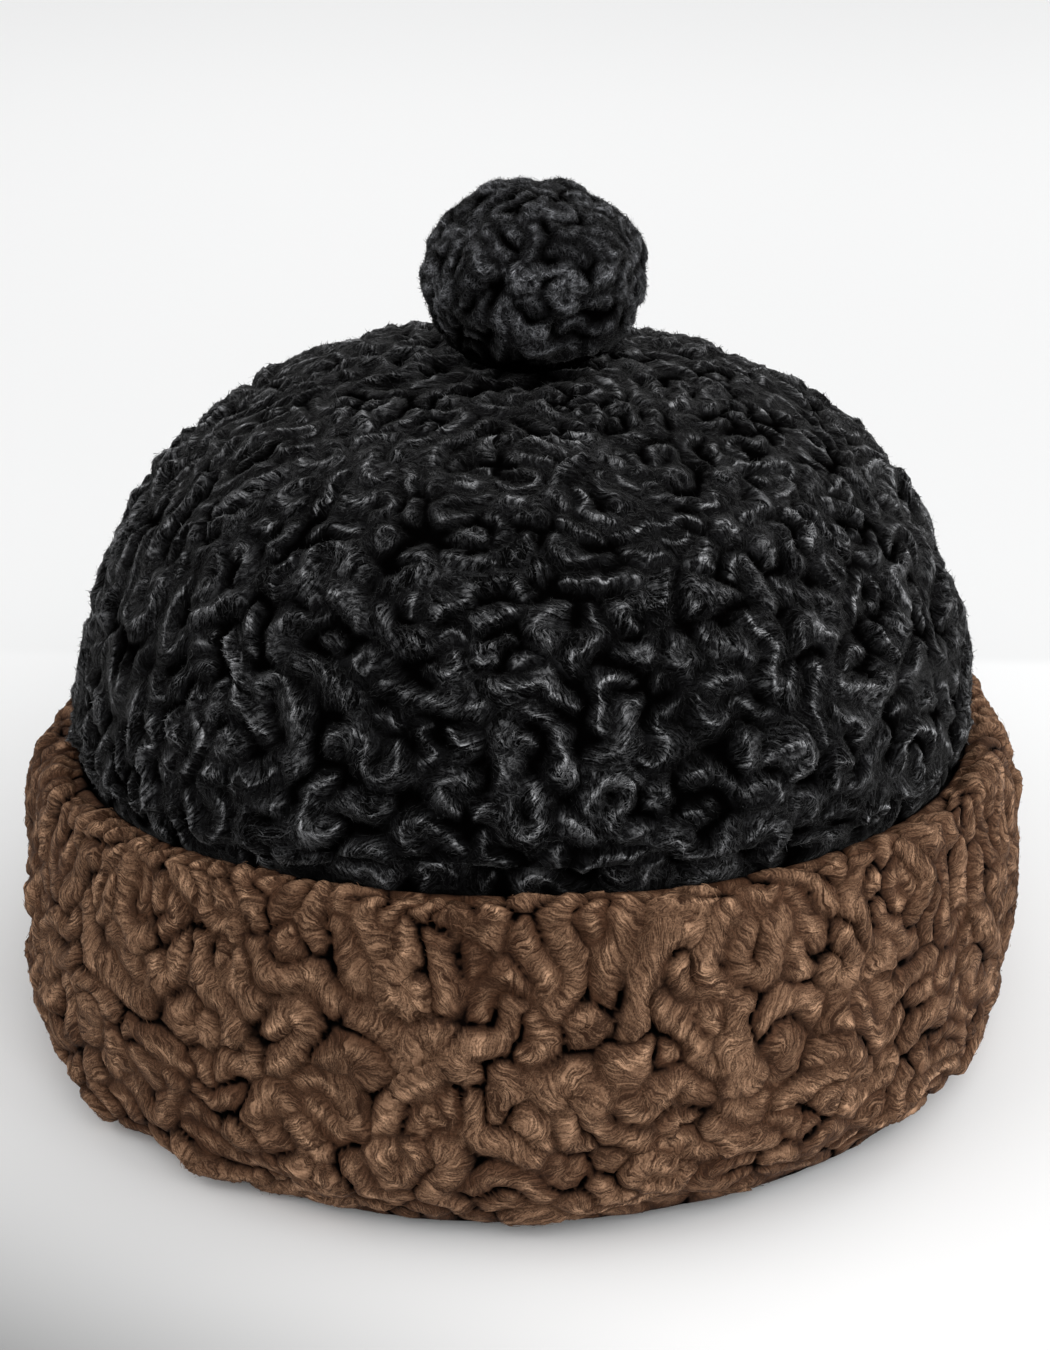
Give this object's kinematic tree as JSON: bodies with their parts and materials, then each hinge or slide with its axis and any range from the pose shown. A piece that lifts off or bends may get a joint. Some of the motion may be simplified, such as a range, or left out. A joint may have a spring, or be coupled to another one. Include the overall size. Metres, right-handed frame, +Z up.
{
  "type": "karakul cap",
  "caption": "Domed cap of curly black lambskin with a turned-up cuff of curly brown lambskin and a round black pompom on top.",
  "frame": {"origin": "middle of the foot of the cuff, on the surface that the cap stands on", "axes": "+Z up through the pompom, +X to the wearer's left, -Y to the front that the picture shows"},
  "size_m": [0.2234, 0.2226, 0.1887],
  "materials": {
    "black_karakul": "tight glossy black lambskin curls",
    "brown_karakul": "chunky soft brown lambskin curls",
    "tie_thread": "matte black thread"
  },
  "bodies": {
    "root": {"crown": "black_karakul", "cuff": "brown_karakul", "pompom": "black_karakul", "pompom_tie": "tie_thread"}
  },
  "joints": []
}
